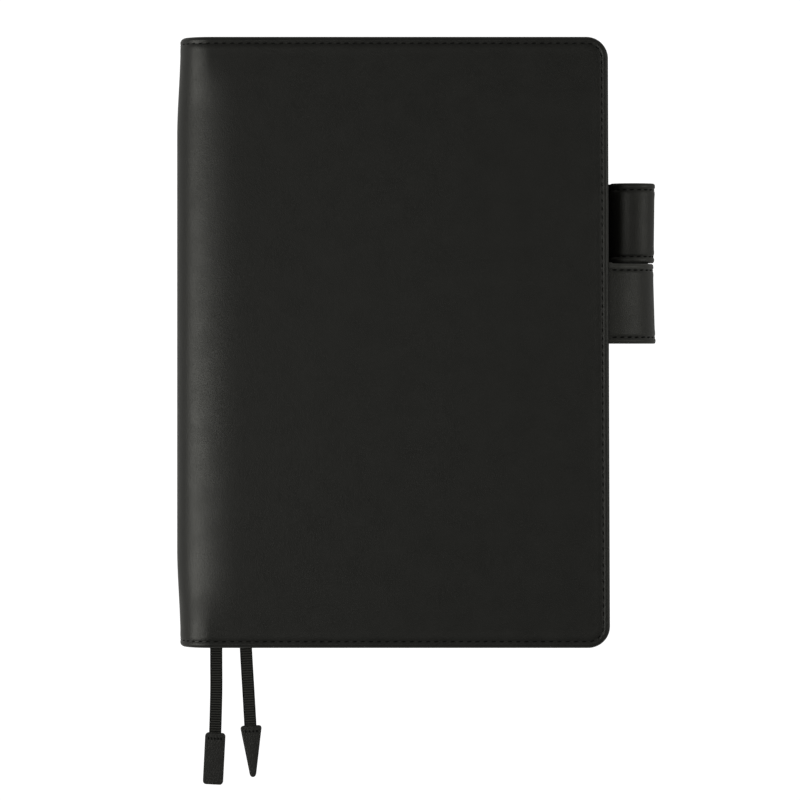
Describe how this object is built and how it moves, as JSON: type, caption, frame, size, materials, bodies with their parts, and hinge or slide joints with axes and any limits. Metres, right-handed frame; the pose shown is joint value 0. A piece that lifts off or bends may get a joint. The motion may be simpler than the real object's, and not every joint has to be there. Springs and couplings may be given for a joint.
{
  "type": "leather notebook cover",
  "caption": "Black leather cover for an A5 notebook, with a rounded folding spine, paired pen loops at the fore edge and ribbon bookmarks.",
  "frame": {"origin": "on the table under the middle of the closed cover, pen loops included; the back panel's outer face is z = 0", "axes": "+X from the spine to the fore edge, +Y from tail to head, +Z from the back panel to the front panel"},
  "size_m": [0.1784, 0.2793, 0.026],
  "materials": {
    "outer_leather": "fine-grained black leather, satin",
    "loop_leather": "fine-grained black leather, satin",
    "trim_leather": "fine-grained black leather, satin, raw edges",
    "sleeve_leather": "smooth black leather, satin",
    "lining": "black woven lining, matte",
    "ribbon": "black grosgrain ribbon",
    "board": "grey board, matte"
  },
  "bodies": {
    "back_cover": {"back_outer_leather": "outer_leather", "back_outer_leather_fold": "outer_leather", "back_core_board": "board", "back_lining": "lining", "back_lining_fold": "lining", "back_sleeve_gusset": "sleeve_leather", "back_sleeve": "sleeve_leather", "back_loop_tab": "loop_leather", "bookmark_anchor_tab": "trim_leather", "bookmark_ribbon_left": "ribbon", "bookmark_ribbon_right": "ribbon", "square_tip_lower": "trim_leather", "square_tip_upper": "trim_leather", "triangle_tip_lower": "trim_leather", "triangle_tip_upper": "trim_leather"},
    "spine": {"spine_outer_leather": "outer_leather", "spine_interlining": "board", "spine_lining": "lining"},
    "front_cover": {"front_outer_leather": "outer_leather", "front_outer_leather_fold": "outer_leather", "front_core_board": "board", "front_lining": "lining", "front_lining_fold": "lining", "front_sleeve_gusset": "sleeve_leather", "front_sleeve": "sleeve_leather", "front_loop_tab": "loop_leather"},
    "back_pen_loop": {"back_loop_leather": "loop_leather", "back_loop_lining": "loop_leather"},
    "front_pen_loop": {"front_loop_leather": "loop_leather", "front_loop_lining": "loop_leather"}
  },
  "joints": [
    {"name": "back_fold", "type": "hinge", "parent": "back_cover", "child": "spine", "pos_m": [-0.08641, 0, 0.00279], "axis": [0, -1, 0], "range_deg": [0, 90]},
    {"name": "front_fold", "type": "hinge", "parent": "spine", "child": "front_cover", "pos_m": [-0.08641, 0, 0.02321], "axis": [0, -1, 0], "range_deg": [0, 90]},
    {"name": "back_loop_flex", "type": "hinge", "parent": "back_cover", "child": "back_pen_loop", "pos_m": [0.073, 0.04445, 0.0016], "axis": [0, 1, 0], "range_deg": [-8, 20], "stiffness_Nm_per_rad": 0.02},
    {"name": "front_loop_flex", "type": "hinge", "parent": "front_cover", "child": "front_pen_loop", "pos_m": [0.073, 0.01435, 0.0244], "axis": [0, -1, 0], "range_deg": [-8, 20], "stiffness_Nm_per_rad": 0.02}
  ]
}
